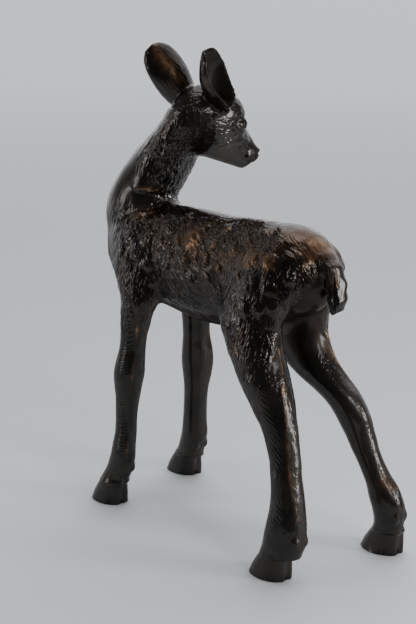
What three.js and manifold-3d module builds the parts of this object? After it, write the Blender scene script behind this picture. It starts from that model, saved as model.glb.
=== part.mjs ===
// Standing fawn, one cast piece. Millimetres, +Z up, the chest faces +X, the animal's left is +Y.
// The body is one closed skin: the zero surface of a smooth sum of tubes, ellipsoids and leaf
// shells, each placed from the named sizes below. Heights are measured from the soles.
import * as THREE from 'three';
import Module from 'manifold-3d';

const DEG = Math.PI / 180;

// ---- driving sizes ---------------------------------------------------------------
const ORIGIN_X = 7.36;             // middle of the bounding box, from the middle of the four feet
const ORIGIN_Y = -7.396;
const GRID_BODY = 5.0;             // sampling step of the body
const GRID_HEAD = 3.0;             // sampling step of the head and ears
const TRIANGLE_TARGET = 9000;
const SOLE_CUT = 6.0;              // the hooves are modelled this far below the floor, then cut flat
const BLEND_NECK = 16, BLEND_FORE = 14, BLEND_HIND = 16, BLEND_TAIL = 5, BLEND_HEAD = 14, BLEND_EAR = 5, BLEND_HOOF = 6;

// body: x, height of the section's middle, half height, half width
const TORSO = table([
  [-112, 312.5, 36, 32], [-88, 309.5, 48.5, 40], [-60, 306, 54.5, 43], [-25, 300.5, 59.5, 43], [15, 295.5, 63, 44],
  [55, 296.5, 63.7, 45], [95, 299, 61.3, 44], [130, 299, 56, 41], [155, 297, 48, 36]]);
const RUMP = { x: -94, z: 312, size: [50, 38, 47.5] }, CHEST = { x: 157, z: 296, size: [53, 36, 51.5] };
const BLEND_END = 10;

// legs: height, x, y, width as seen along the diagonal, ratio of length to breadth
const LEG_VIEW_X = 0.669, LEG_VIEW_Y = 0.743;
const LEGS = {
  foreLeft: leg([[350, 138, 20, 12, 1.6], [344, 138, 21, 34, 1.7], [333, 137, 24, 50, 1.8], [310, 134, 32, 58, 1.7], [285, 126, 39, 54, 1.5],
    [265, 119, 42, 48, 1.4], [251, 116, 44, 42.5, 1.3], [236, 119, 46, 37.5, 1.2], [221, 121.5, 47, 34, 1.15],
    [207, 122.5, 49, 31.5, 1.1], [192, 124, 50, 31.5, 1.05], [177, 125.5, 52, 34.8, 1.05], [163, 127, 53, 37, 1.05],
    [148, 128, 54, 34, 1.05], [133, 128, 55, 29.7, 1.1], [118, 129, 56, 27, 1.1], [103, 129, 57, 25.8, 1.1],
    [89, 129, 58, 26.4, 1.1], [74, 130, 60, 28.2, 1.15], [58, 132, 61, 30.7, 1.2], [41, 138, 62, 32, 1.25], [27, 144, 64, 35, 1.35]]),
  foreRight: leg([[350, 134, -20, 12, 1.6], [344, 134, -21, 34, 1.7], [333, 133, -24, 50, 1.8], [310, 130, -32, 58, 1.7], [285, 122, -38, 54, 1.5],
    [265, 116, -40, 48, 1.4], [251, 114, -41, 42.5, 1.3], [236, 115, -42, 37.5, 1.2], [221, 117, -43, 34, 1.15],
    [206, 118, -44, 32.5, 1.1], [191, 119, -46, 33.5, 1.05], [175, 120, -48, 37.5, 1.05], [159, 122, -50, 39, 1.05],
    [142, 125, -52, 35.5, 1.05], [126, 127.5, -53, 31, 1.1], [109, 131, -55, 29.5, 1.1], [93, 133, -56, 29.5, 1.1],
    [76, 136, -58, 30.5, 1.15], [59, 139, -60, 32.7, 1.2], [41, 146, -62, 33, 1.25], [27, 152, -64, 35, 1.35]]),
  hindLeft: leg([[344, -90, 20, 12, 1.7], [337, -89, 22, 34, 1.7], [324, -86, 27, 54, 1.7], [300, -78, 34, 68, 1.65], [275, -70, 39, 68, 1.6],
    [255, -70, 43, 64, 1.55], [238, -77, 45, 60, 1.5], [227, -83, 47, 59, 1.45], [215, -90, 48, 57.5, 1.4],
    [204, -97, 50, 56.5, 1.35], [192, -104, 51, 53.5, 1.35], [181, -111, 52, 49.4, 1.35], [170, -118, 54, 44.4, 1.35],
    [159, -125, 55, 39.8, 1.35], [147, -130, 56, 36.6, 1.35], [136, -134, 57, 34.8, 1.3], [124, -138, 58, 33.6, 1.25],
    [112, -141, 60, 33.3, 1.2], [99, -144, 61, 34.3, 1.2], [87, -146, 62, 36, 1.2], [74, -147, 63, 38.6, 1.2],
    [61, -147, 64, 42, 1.25], [48, -146, 65, 44, 1.3], [34, -144, 66, 44, 1.35], [27, -142, 67, 43, 1.35]]),
  hindRight: leg([[344, -90, -20, 12, 1.7], [337, -89, -22, 34, 1.7], [324, -86, -27, 54, 1.7], [300, -76, -34, 68, 1.65], [275, -64, -37, 70, 1.65],
    [255, -58, -38, 66, 1.65], [238, -59, -39, 62, 1.6], [224, -64, -39, 61, 1.55], [210, -73, -40, 60, 1.5],
    [198, -84, -41, 59, 1.45], [187, -97, -43, 55, 1.4], [176, -111, -46, 49.5, 1.4], [165, -123, -48, 43, 1.35],
    [152, -132, -50, 38.5, 1.35], [140, -137, -52, 35.2, 1.3], [127, -143, -54, 32.4, 1.25], [114, -149, -55, 30.3, 1.2],
    [102, -155, -57, 29.4, 1.15], [89, -162, -59, 30.6, 1.15], [77, -169, -61, 34, 1.2], [64, -174, -62, 36.6, 1.25],
    [51, -177, -64, 36, 1.25], [36, -177, -65, 32, 1.25], [27, -176, -66, 33, 1.3]]),
};

// hooves: middle of each sole, and one profile for all four (height, forward shift, half length, half breadth)
const FEET = { foreLeft: [151, 66], foreRight: [165, -66], hindLeft: [-130, 69], hindRight: [-166, -69] };
const HOOF = table([[-6, 2, 26.5, 19.5], [0, 1, 26, 19], [10, -1.5, 24, 18], [20, -5, 20.5, 16.5], [28, -8, 17, 15], [34, -9, 11, 10]], true);
const CLEFT_WIDTH = 3.0, CLEFT_DEPTH = 15, CLEFT_HEIGHT = 24;

// neck: height, x, y, half depth, half breadth, turn of the section
const NECK = table([
  [296, 160, 0, 42, 33, 0], [318, 165, 1, 43, 35, 0], [342, 168, 2, 44, 37, -4 * DEG], [362, 165, 0, 44, 38, -10 * DEG],
  [380, 157.3, -4.8, 45, 40, -16 * DEG], [398, 147, -10, 44, 40, -24 * DEG], [416, 136, -14, 43, 37.5, -34 * DEG],
  [434, 121, -18, 41, 35, -48 * DEG], [452, 105, -20, 37, 31.5, -64 * DEG], [468, 95, -22, 31, 28, -80 * DEG]]);

// head: middle of the skull and the way it looks (turned to the animal's right, nose a little down)
const HEAD = [86, -31, 462], HEAD_TURN = -100 * DEG, HEAD_DIP = -16 * DEG;
const HEAD_AXES = axes(HEAD_TURN, HEAD_DIP);

// ears: wall; each from a root point, an axis, the way its hollow faces, its length, half width and cup,
// and how far its front half spreads (share of the half width at the root, a quarter, the middle, three quarters, the tip)
const EAR_ROOT = 13, EAR_WALL_TIP = 2.5, EAR_WALL_ROOT = 1.2;
const EAR_WIDTH = table([[0, .66], [.1, .8], [.25, .93], [.4, 1], [.55, 1], [.7, .95], [.82, .83], [.9, .65], [.96, .44], [1, .12]], true);
const EAR_BEND = table([[0, 1.15], [.25, 1.1], [.5, .9], [.8, .55], [1, .3]], true);
const EARS = [
  earFrame([-16.8, -23, 14.6], [-43.6, -13.9, 40.5], [.13, -.99, 0], 72.5, 22.4, 18.5, [1, 1, 1, 1, 1]),
  earFrame([-3.2, 31, 20], [-42.5, 15, 43], [.63, .65, 0], 64.5, 21.8, 19, [.72, .9, 1.1, 1.04, 1])];

// tail flap: x, height, half width, half thickness
const TAIL = [[-118, 334, 9, 6], [-134, 331, 12, 7], [-145, 321, 14, 7.5], [-151, 306, 15, 7.5], [-153, 292, 15, 7], [-152, 280, 13.5, 5.5]];
const TAIL_FLAT = 1.7;

// ---- tables and small maths --------------------------------------------------------
function table(rows, straight = false) {
  rows = [...rows].sort((a, b) => a[0] - b[0]);
  const n = 300, x0 = rows[0][0], x1 = rows[rows.length - 1][0], cols = rows[0].length - 1, data = [];
  for (let c = 1; c <= cols; c++) {
    const x = rows.map(r => r[0]), y = rows.map(r => r[c]), m = y.map((_, i) => {
      if (i === 0) return (y[1] - y[0]) / (x[1] - x[0]);
      if (i === y.length - 1) return (y[i] - y[i - 1]) / (x[i] - x[i - 1]);
      const h0 = x[i] - x[i - 1], h1 = x[i + 1] - x[i];
      return ((y[i] - y[i - 1]) / h0 * h1 + (y[i + 1] - y[i]) / h1 * h0) / (h0 + h1);
    });
    const out = new Float64Array(n);
    for (let i = 0, k = 0; i < n; i++) {
      const X = x0 + (x1 - x0) * i / (n - 1);
      while (k < x.length - 2 && X > x[k + 1]) k++;
      const h = x[k + 1] - x[k], t = (X - x[k]) / h;
      out[i] = straight ? y[k] + (y[k + 1] - y[k]) * t
        : (2 * t ** 3 - 3 * t ** 2 + 1) * y[k] + (t ** 3 - 2 * t ** 2 + t) * h * m[k] + (-2 * t ** 3 + 3 * t ** 2) * y[k + 1] + (t ** 3 - t ** 2) * h * m[k + 1];
    }
    data.push(out);
  }
  return {
    x0, x1,
    at(X, c) {
      const u = Math.min(Math.max((X - x0) / (x1 - x0), 0), 1) * (n - 1), i = Math.min(Math.floor(u), n - 2);
      return data[c][i] + (data[c][i + 1] - data[c][i]) * (u - i);
    },
    slope(X, c) { const e = (x1 - x0) / n; return (this.at(X + e, c) - this.at(X - e, c)) / (2 * e); },
  };
}
function leg(rows) {
  return table(rows.map(([z, x, y, w, k]) => {
    const b = (w / 2) / Math.hypot(LEG_VIEW_X * k, LEG_VIEW_Y);
    return [z, x, y, k * b, b];
  }));
}
function axes(yaw, pitch) {
  const f = [Math.cos(yaw) * Math.cos(pitch), Math.sin(yaw) * Math.cos(pitch), Math.sin(pitch)];
  const r = [Math.sin(yaw), -Math.cos(yaw), 0];
  return [f, r, [r[1] * f[2] - r[2] * f[1], r[2] * f[0] - r[0] * f[2], r[0] * f[1] - r[1] * f[0]]];
}
function unit(v) { const l = Math.hypot(...v); return v.map(c => c / l); }
function fromHead(v) { return [0, 1, 2].map(i => v[0] * HEAD_AXES[0][i] + v[1] * HEAD_AXES[1][i] + v[2] * HEAD_AXES[2][i]); }
function earFrame(root, axis, hollow, length, half, cup, spread) {
  const b = fromHead(root).map((c, i) => c + HEAD[i]), a = unit(fromHead(axis));
  let n = fromHead(hollow); const d = n[0] * a[0] + n[1] * a[1] + n[2] * a[2];
  n = unit(n.map((c, i) => c - d * a[i]));
  const front = table(spread.map((v, i) => [i / 4, v]), true);
  return { b, a, n, length, half, cup, front, s: [a[1] * n[2] - a[2] * n[1], a[2] * n[0] - a[0] * n[2], a[0] * n[1] - a[1] * n[0]] };
}
const clamp = (v, a, b) => v < a ? a : v > b ? b : v;
const smin = (a, b, k) => { const h = clamp(.5 + .5 * (b - a) / k, 0, 1); return b * (1 - h) + a * h - k * h * (1 - h); };
const smax = (a, b, k) => -smin(-a, -b, k);
function oval(a, b, ra, rb) {
  const k0 = Math.hypot(a / ra, b / rb), k1 = Math.hypot(a / (ra * ra), b / (rb * rb));
  return k0 * (k0 - 1) / Math.max(k1, 1e-9);
}
function egg(a, b, c, ra, rb, rc) {
  const k0 = Math.hypot(a / ra, b / rb, c / rc), k1 = Math.hypot(a / (ra * ra), b / (rb * rb), c / (rc * rc));
  return k0 * (k0 - 1) / Math.max(k1, 1e-9);
}
function rod(p, A, B, ra, rb, k) {            // tapered rod, its section scaled by k along the second axis
  const d = [B[0] - A[0], B[1] - A[1], B[2] - A[2]], q = [p[0] - A[0], p[1] - A[1], p[2] - A[2]];
  const t = clamp((q[0] * d[0] + q[1] * d[1] + q[2] * d[2]) / (d[0] * d[0] + d[1] * d[1] + d[2] * d[2]), 0, 1);
  return (Math.hypot(q[0] - t * d[0], (q[1] - t * d[1]) / k, q[2] - t * d[2]) - (ra + (rb - ra) * t)) * Math.min(1, k);
}

// ---- the parts of the skin ----------------------------------------------------------
function column(T, x, y, z) {                 // a limb cut into level sections
  const zc = clamp(z, T.x0, T.x1);
  let dx = x - T.at(zc, 0), dy = y - T.at(zc, 1);
  if (T === NECK) { const a = T.at(zc, 4), c = Math.cos(a), s = Math.sin(a); [dx, dy] = [c * dx + s * dy, -s * dx + c * dy]; }
  const d = oval(dx, dy, T.at(zc, 2), T.at(zc, 3)) / Math.sqrt(1 + .8 * T.slope(zc, 0) ** 2 + .8 * T.slope(zc, 1) ** 2);
  const dz = Math.abs(z - zc);
  return dz > 0 ? Math.hypot(Math.max(d, 0), dz) : d;
}
function torso(x, y, z) {
  const xc = clamp(x, TORSO.x0, TORSO.x1), dx = Math.abs(x - xc);
  let d = oval(y, z - TORSO.at(xc, 0), TORSO.at(xc, 2), TORSO.at(xc, 1));
  if (dx > 0) d = Math.hypot(Math.max(d, 0), dx);
  for (const e of [RUMP, CHEST]) d = smin(d, egg(x - e.x, y, z - e.z, ...e.size), BLEND_END);
  return d;
}
function hoof(foot, x, y, z) {
  const zc = clamp(z, HOOF.x0, HOOF.x1), d = oval(x - foot[0] - HOOF.at(zc, 0), y - foot[1], HOOF.at(zc, 1), HOOF.at(zc, 2)), dz = Math.abs(z - zc);
  return dz > 0 ? Math.hypot(Math.max(d, 0), dz) : d;
}
function tail(x, y, z) {
  let d = Infinity;
  for (let i = 0; i + 1 < TAIL.length; i++) {
    const e = rod([x, y, z], [TAIL[i][0], 0, TAIL[i][1]], [TAIL[i + 1][0], 0, TAIL[i + 1][1]], TAIL[i][3], TAIL[i + 1][3], TAIL_FLAT);
    d = i ? smin(d, e, 3) : e;
  }
  return d;
}
function head(x, y, z) {
  const p = [x - HEAD[0], y - HEAD[1], z - HEAD[2]];
  const q = HEAD_AXES.map(a => p[0] * a[0] + p[1] * a[1] + p[2] * a[2]), s = Math.abs(q[1]);
  let d = egg(q[0], q[1], q[2], 39, 31, 34);                                // skull
  d = smin(d, egg(q[0] - 21, s - 11, q[2] - 8.5, 21, 18, 18.5), 14);               // brows
  d = smin(d, egg(q[0] - 14, s - 9, q[2] + 16, 33, 16, 20), 12);                // cheeks
  d = smin(d, rod(q, [20, 0, -8], [69, 0, -29], 24, 12.5, .84), 12);            // muzzle
  d = smin(d, rod(q, [26, 0, 2], [60, 0, -20], 15, 10, .85), 8);                // bridge of the nose
  d = smin(d, rod(q, [6, 0, -32], [63, 0, -41], 14, 7.5, 1.05), 8);             // lower jaw
  d = smin(d, egg(q[0] - 71, q[1], q[2] + 28.5, 11.5, 11, 9.5), 6);             // nose
  return smin(d, egg(q[0] - 27, s - 20, q[2], 9, 8, 8), 4);                     // eyes
}
function ear(E, x, y, z) {
  const p = [x - E.b[0], y - E.b[1], z - E.b[2]], dot = v => p[0] * v[0] + p[1] * v[1] + p[2] * v[2];
  const a = dot(E.a), s = dot(E.s), n = dot(E.n), t = clamp(a / E.length, 0, 1);
  const w = E.half * EAR_WIDTH.at(t, 0) * (s > 0 ? E.front.at(t, 0) : 1), cup = E.cup * EAR_BEND.at(t, 0), u = clamp(s / Math.max(w, 1), -1.25, 1.25);
  const mid = cup * u * u - cup * .62 - 4 * Math.sin(t * 3.14), g = Math.hypot(1, 2 * cup * u / Math.max(w, 4));
  const shell = Math.abs(n - mid) / g - (EAR_WALL_TIP + EAR_WALL_ROOT * (1 - t));
  return smax(smax(shell, (Math.abs(s) - w) / g * .9, 2.2), Math.max(-a - EAR_ROOT, a - E.length), 3);
}
function skin(x, y, z) {
  let d = torso(x, y, z);
  if (z > 260 && x > 40) d = smin(d, column(NECK, x, y, z), BLEND_NECK);
  for (const k in LEGS) {
    const fore = k.startsWith('fore'), left = k.endsWith('Left');
    if (fore ? x < 70 : x > 10) continue;
    if (z < 220 && (left ? y < 0 : y > 0)) continue;
    const l = z < 60 ? smin(column(LEGS[k], x, y, z), hoof(FEET[k], x, y, z), BLEND_HOOF) : column(LEGS[k], x, y, z);
    d = smin(d, l, fore ? BLEND_FORE : BLEND_HIND);
  }
  if (x < -100 && z > 240) d = smin(d, tail(x, y, z), BLEND_TAIL);
  if (z > 380) {
    d = smin(d, head(x, y, z), BLEND_HEAD);
    for (const E of EARS) d = smin(d, ear(E, x, y, z), BLEND_EAR);
  }
  return d;
}

// ---- skin to triangles ----------------------------------------------------------------
function steps(...runs) {                      // [from, to, step] runs joined into one list of grid lines
  const out = [];
  for (const [a, b, h] of runs) { const n = Math.round((b - a) / h); for (let i = 0; i < n; i++) out.push(a + (b - a) * i / n); }
  out.push(runs[runs.length - 1][1]);
  return out;
}
function net() {
  const X = steps([-215, 15, GRID_BODY], [15, 171, GRID_HEAD], [171, 231, GRID_BODY]);
  const Y = steps([-125, -65, GRID_BODY], [-65, 31, GRID_HEAD], [31, 106, GRID_BODY]);
  const Z = steps([-16, 419, GRID_BODY], [419, 560, GRID_HEAD]);
  const nx = X.length, ny = Y.length, nz = Z.length, F = new Float32Array(nx * ny * nz), at = (i, j, k) => (i * ny + j) * nz + k;
  for (let i = 0; i < nx; i++) for (let j = 0; j < ny; j++) for (let k = 0; k < nz; k++) F[at(i, j, k)] = skin(X[i], Y[j], Z[k]);
  const id = new Map(), V = [], quads = [];      // cell -> one point per patch of skin inside it
  const edge = (ax, o) => ax * 4 + o[(ax + 1) % 3] + 2 * o[(ax + 2) % 3];
  for (let i = 0; i + 1 < nx; i++) for (let j = 0; j + 1 < ny; j++) for (let k = 0; k + 1 < nz; k++) {
    const f = o => F[at(i + o[0], j + o[1], k + o[2])], cross = new Array(12).fill(null), root = new Array(12).fill(-1);
    let any = 0;
    for (let ax = 0; ax < 3; ax++) for (let c = 0; c < 4; c++) {
      const o = [0, 0, 0]; o[(ax + 1) % 3] = c & 1; o[(ax + 2) % 3] = c >> 1;
      const e = [...o]; e[ax] = 1;
      const a = f(o), b = f(e);
      if ((a < 0) === (b < 0)) continue;
      const t = a / (a - b), w = ax * 4 + c;
      cross[w] = [X[i + o[0]] + (X[i + e[0]] - X[i + o[0]]) * t, Y[j + o[1]] + (Y[j + e[1]] - Y[j + o[1]]) * t, Z[k + o[2]] + (Z[k + e[2]] - Z[k + o[2]]) * t];
      root[w] = w; any++;
    }
    if (!any) continue;
    const find = w => { while (root[w] !== w) w = root[w]; return w; }, join = (p, q) => { root[find(p)] = find(q); };
    for (let ax = 0; ax < 3; ax++) for (let side = 0; side < 2; side++) {
      const u = (ax + 1) % 3, v = (ax + 2) % 3, found = [], corners = [];
      for (let cu = 0; cu < 2; cu++) for (let cv = 0; cv < 2; cv++) {
        const o = [0, 0, 0]; o[ax] = side; o[u] = cu; o[v] = cv;
        const ou = [...o], ov = [...o]; ou[u] = 0; ov[v] = 0;
        const eu = edge(u, ou), ev = edge(v, ov);
        if (f(o) < 0 && cross[eu] && cross[ev]) corners.push([eu, ev]);
        for (const w of [eu, ev]) if (cross[w] && !found.includes(w)) found.push(w);
      }
      if (found.length === 2) join(found[0], found[1]);
      if (found.length === 4) for (const [p, q] of corners) join(p, q);
    }
    const ids = new Int32Array(12).fill(-1), made = new Map();
    for (let w = 0; w < 12; w++) if (cross[w]) {
      const r = find(w);
      if (!made.has(r)) { made.set(r, { v: V.length, n: 0, p: [0, 0, 0] }); V.push(null); }
      const m = made.get(r); m.n++; ids[w] = m.v;
      for (let a = 0; a < 3; a++) m.p[a] += cross[w][a];
    }
    for (const m of made.values()) V[m.v] = m.p.map(c => c / m.n);
    id.set(at(i, j, k), ids);
  }
  for (let i = 1; i + 1 < nx; i++) for (let j = 1; j + 1 < ny; j++) for (let k = 1; k + 1 < nz; k++) {
    const a = F[at(i, j, k)] < 0;
    for (let ax = 0; ax < 3; ax++) {
      const e = [i, j, k]; e[ax]++;
      if (a === (F[at(...e)] < 0)) continue;
      const u = (ax + 1) % 3, v = (ax + 2) % 3;
      const q = [[1, 1], [0, 1], [0, 0], [1, 0]].map(([m, n]) => {
        const c = [i, j, k]; c[u] -= m; c[v] -= n;
        return id.get(at(...c))[ax * 4 + m + 2 * n];
      });
      quads.push(a ? q : q.reverse());
    }
  }
  for (let pass = 0; pass < 3; pass++) for (const p of V) {                       // settle every point on the skin
    const f = skin(...p), e = .5;
    const g = [0, 1, 2].map(a => { const u = [...p], v = [...p]; u[a] += e; v[a] -= e; return (skin(...u) - skin(...v)) / (2 * e); });
    const s = clamp(f / Math.max(g[0] ** 2 + g[1] ** 2 + g[2] ** 2, .2), -2.5, 2.5);
    if (p[2] > -SOLE_CUT + 1) for (let a = 0; a < 3; a++) p[a] -= s * g[a];
  }
  const tris = [];
  const dist = (a, b) => Math.hypot(V[a][0] - V[b][0], V[a][1] - V[b][1], V[a][2] - V[b][2]);
  for (const [a, b, c, d] of quads) dist(a, c) < dist(b, d) ? tris.push([a, b, c], [a, c, d]) : tris.push([a, b, d], [b, c, d]);
  return { V, tris };
}

// Collapse the edges that change the shape least until the target count is left.
function thin({ V, tris }, target) {
  const sub = (a, b) => [a[0] - b[0], a[1] - b[1], a[2] - b[2]], cross = (a, b) => [a[1] * b[2] - a[2] * b[1], a[2] * b[0] - a[0] * b[2], a[0] * b[1] - a[1] * b[0]];
  const dot = (a, b) => a[0] * b[0] + a[1] * b[1] + a[2] * b[2];
  const Q = V.map(() => new Float64Array(10)), faces = V.map(() => new Set());
  const live = tris.map(() => true); let count = tris.length;
  tris.forEach((t, f) => {
    const n0 = cross(sub(V[t[1]], V[t[0]]), sub(V[t[2]], V[t[0]])), l = Math.hypot(...n0) || 1, n = n0.map(c => c / l), d = -dot(n, V[t[0]]), w = l / 2;
    const q = [n[0] * n[0], n[0] * n[1], n[0] * n[2], n[0] * d, n[1] * n[1], n[1] * n[2], n[1] * d, n[2] * n[2], n[2] * d, d * d];
    for (const v of t) { faces[v].add(f); for (let i = 0; i < 10; i++) Q[v][i] += q[i] * w; }
  });
  const err = (q, p) => q[0] * p[0] ** 2 + 2 * q[1] * p[0] * p[1] + 2 * q[2] * p[0] * p[2] + 2 * q[3] * p[0] + q[4] * p[1] ** 2 + 2 * q[5] * p[1] * p[2] + 2 * q[6] * p[1] + q[7] * p[2] ** 2 + 2 * q[8] * p[2] + q[9];
  const stamp = new Int32Array(V.length), heap = [];
  const less = (a, b) => a.c < b.c;
  const push = e => { heap.push(e); let i = heap.length - 1; while (i) { const p = (i - 1) >> 1; if (!less(heap[i], heap[p])) break; [heap[i], heap[p]] = [heap[p], heap[i]]; i = p; } };
  const pop = () => { const top = heap[0], last = heap.pop(); if (heap.length) { heap[0] = last; let i = 0; for (;;) { let m = i; for (const c of [2 * i + 1, 2 * i + 2]) if (c < heap.length && less(heap[c], heap[m])) m = c; if (m === i) break; [heap[i], heap[m]] = [heap[m], heap[i]]; i = m; } } return top; };
  const cost = (a, b) => {
    const q = Q[a].map((v, i) => v + Q[b][i]);
    const A = [[q[0], q[1], q[2]], [q[1], q[4], q[5]], [q[2], q[5], q[7]]], r = [-q[3], -q[6], -q[8]];
    const mid = V[a].map((c, i) => (c + V[b][i]) / 2), det = m => dot(m[0], cross(m[1], m[2])), D = det(A);
    let best = mid, c = err(q, mid);
    const tr = q[0] + q[4] + q[7];
    if (Math.abs(D) > 1e-5 * tr ** 3) {
      const p = [0, 1, 2].map(k => det(A.map((row, i) => row.map((v, j) => j === k ? r[i] : v))) / D);
      if (Math.hypot(...sub(p, mid)) < Math.hypot(...sub(V[a], V[b]))) { const e = err(q, p); if (e < c) { c = e; best = p; } }
    }
    const l2 = dot(sub(V[a], V[b]), sub(V[a], V[b]));
    return { c: Math.max(c, 0) + l2 * l2 * 4e-5, a, b, p: best, sa: stamp[a], sb: stamp[b] };
  };
  const ring = v => { const s = new Set(); for (const f of faces[v]) for (const u of tris[f]) if (u !== v) s.add(u); return s; };
  for (let v = 0; v < V.length; v++) for (const u of ring(v)) if (u > v) push(cost(v, u));
  while (count > target && heap.length) {
    const e = pop();
    if (e.sa !== stamp[e.a] || e.sb !== stamp[e.b]) continue;
    const ra = ring(e.a), rb = ring(e.b);
    let shared = 0; for (const u of ra) if (rb.has(u)) shared++;
    if (shared !== 2) continue;
    let bad = false;
    for (const v of [e.a, e.b]) for (const f of faces[v]) {
      const t = tris[f]; if (t.includes(e.a) && t.includes(e.b)) continue;
      const P = t.map(u => V[u]), N = t.map(u => u === v ? e.p : V[u]);
      const n0 = cross(sub(P[1], P[0]), sub(P[2], P[0])), n1 = cross(sub(N[1], N[0]), sub(N[2], N[0])), l0 = Math.hypot(...n0), l1 = Math.hypot(...n1);
      const edge = Math.max(...[0, 1, 2].map(i => dot(sub(N[i], N[(i + 1) % 3]), sub(N[i], N[(i + 1) % 3]))));
      if (l1 < 0.12 * edge || dot(n0, n1) < 0.5 * l0 * l1) { bad = true; break; }
    }
    if (bad) continue;
    for (const f of [...faces[e.b]]) {
      const t = tris[f];
      if (t.includes(e.a)) { live[f] = false; count--; for (const u of t) faces[u].delete(f); }
      else { t[t.indexOf(e.b)] = e.a; faces[e.a].add(f); }
    }
    faces[e.b].clear(); V[e.a] = e.p; stamp[e.a]++; stamp[e.b]++;
    for (let i = 0; i < 10; i++) Q[e.a][i] += Q[e.b][i];
    for (const u of ring(e.a)) push(cost(e.a, u));
  }
  const map = new Map(), out = { V: [], tris: [] };
  tris.forEach((t, f) => { if (live[f]) out.tris.push(t.map(u => { if (!map.has(u)) { map.set(u, out.V.length); out.V.push(V[u]); } return map.get(u); })); });
  return out;
}

// ---- joining and cutting ----------------------------------------------------------------
const wasm = await Module();
wasm.setup();
function solid(V, tris) {
  return new wasm.Manifold(new wasm.Mesh({ numProp: 3, vertProperties: new Float32Array(V.flat()), triVerts: new Uint32Array(tris.flat()) }));
}
function blockSolid(sx, sy, sz, x, y, z) {
  const g = new THREE.BoxGeometry(sx, sy, sz); g.translate(x, y, z);
  const pos = g.attributes.position, idx = g.index, V = [], key = new Map(), tris = [];
  const vid = i => { const k = [pos.getX(i), pos.getY(i), pos.getZ(i)].map(c => c.toFixed(4)).join(); if (!key.has(k)) { key.set(k, V.length); V.push([pos.getX(i), pos.getY(i), pos.getZ(i)]); } return key.get(k); };
  for (let i = 0; i < idx.count; i += 3) tris.push([vid(idx.getX(i)), vid(idx.getX(i + 1)), vid(idx.getX(i + 2))]);
  return solid(V, tris);
}

const thinned = thin(net(), TRIANGLE_TARGET);
let body = solid(thinned.V, thinned.tris);
body = body.intersect(blockSolid(600, 400, 700, 0, 0, 350));
for (const k in FEET) {
  const [x, y] = FEET[k], front = x + HOOF.at(0, 0) + HOOF.at(0, 1) + 4;
  body = body.subtract(blockSolid(CLEFT_DEPTH + 4, CLEFT_WIDTH, CLEFT_HEIGHT, front - (CLEFT_DEPTH + 4) / 2, y, CLEFT_HEIGHT / 2 - 1));
}

const mesh = body.getMesh(), n = mesh.numProp, pts = [];
for (let i = 0; i < mesh.vertProperties.length; i += n) {
  const z = mesh.vertProperties[i + 2];
  pts.push(mesh.vertProperties[i] - ORIGIN_X, mesh.vertProperties[i + 1] - ORIGIN_Y, Math.abs(z) < 1e-4 ? 0 : z);
}
const geometry = new THREE.BufferGeometry();
geometry.setAttribute('position', new THREE.Float32BufferAttribute(pts, 3));
geometry.setIndex([...mesh.triVerts]);
geometry.computeVertexNormals();

const bronze = new THREE.MeshStandardMaterial({ color: 0x2c211b, metalness: 0.85, roughness: 0.35 });
const fawn = new THREE.Mesh(geometry, bronze);
fawn.name = 'fawn';

const group = new THREE.Group();
group.add(fawn);
export default group;
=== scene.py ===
import math

import bpy
import numpy as np
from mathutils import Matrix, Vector, kdtree


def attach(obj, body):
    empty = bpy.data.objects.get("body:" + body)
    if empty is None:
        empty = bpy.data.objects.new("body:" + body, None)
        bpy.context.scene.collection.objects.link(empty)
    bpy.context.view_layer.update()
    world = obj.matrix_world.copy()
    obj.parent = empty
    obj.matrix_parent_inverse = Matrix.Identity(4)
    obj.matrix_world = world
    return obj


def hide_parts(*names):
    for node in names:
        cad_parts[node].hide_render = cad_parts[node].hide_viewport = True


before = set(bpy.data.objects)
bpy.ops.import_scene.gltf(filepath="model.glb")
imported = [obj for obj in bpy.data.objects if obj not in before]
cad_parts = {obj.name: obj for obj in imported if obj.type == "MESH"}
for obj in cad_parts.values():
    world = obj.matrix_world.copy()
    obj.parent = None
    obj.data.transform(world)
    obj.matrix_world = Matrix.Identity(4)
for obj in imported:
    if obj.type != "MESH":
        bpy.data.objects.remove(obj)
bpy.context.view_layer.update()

# ---------------------------------------------------------------- camera
# Row frame, metres. The photograph looks from behind and to the animal's left, a little down.
CAM = Vector((-1.03913, 0.97791, 0.600))
PITCH = math.atan(321 / 1300)
cam_data = bpy.data.cameras.new("camera")
cam_data.lens, cam_data.sensor_width, cam_data.sensor_fit = 75, 36, "AUTO"
camera = bpy.data.objects.new("camera", cam_data)
bpy.context.scene.collection.objects.link(camera)
camera.location = CAM
look = Vector((0.74339 * math.cos(PITCH), -0.66887 * math.cos(PITCH), -math.sin(PITCH)))
camera.rotation_euler = look.to_track_quat("-Z", "Y").to_euler()
bpy.context.scene.camera = camera

# ---------------------------------------------------------------- shape
# Millimetres, from the middle of the four feet; moved to the row frame at the end.
ORIGIN = np.array([7.36, -7.396, 0.0])
RAD = math.pi / 180


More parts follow.
